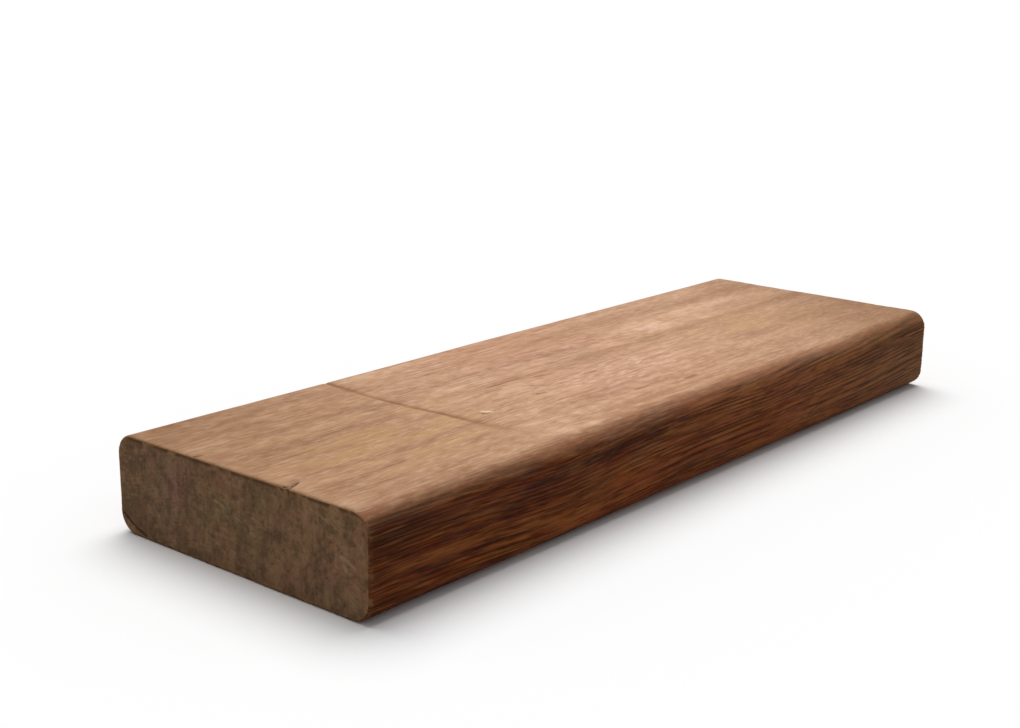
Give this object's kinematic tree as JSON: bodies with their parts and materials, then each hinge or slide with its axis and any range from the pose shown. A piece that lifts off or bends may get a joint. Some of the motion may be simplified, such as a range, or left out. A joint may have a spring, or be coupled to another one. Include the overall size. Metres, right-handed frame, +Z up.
{
  "type": "decking board",
  "caption": "Short length of solid timber decking board with planed faces, rounded long edges and sawn ends, laid flat on joists to carry foot traffic.",
  "frame": {"origin": "middle of the underside, the face that lies on the joists", "axes": "+X along the board with the grain, away from the sawn end shown nearest; +Y across the width; +Z up, out of the walked face"},
  "size_m": [0.29, 0.095, 0.028],
  "materials": {
    "wood": "planed and oiled brown timber: paler and dry on the walked face, deep red-brown on the edges, olive-brown sawn end grain"
  },
  "bodies": {
    "root": {"board": "wood"}
  },
  "joints": []
}
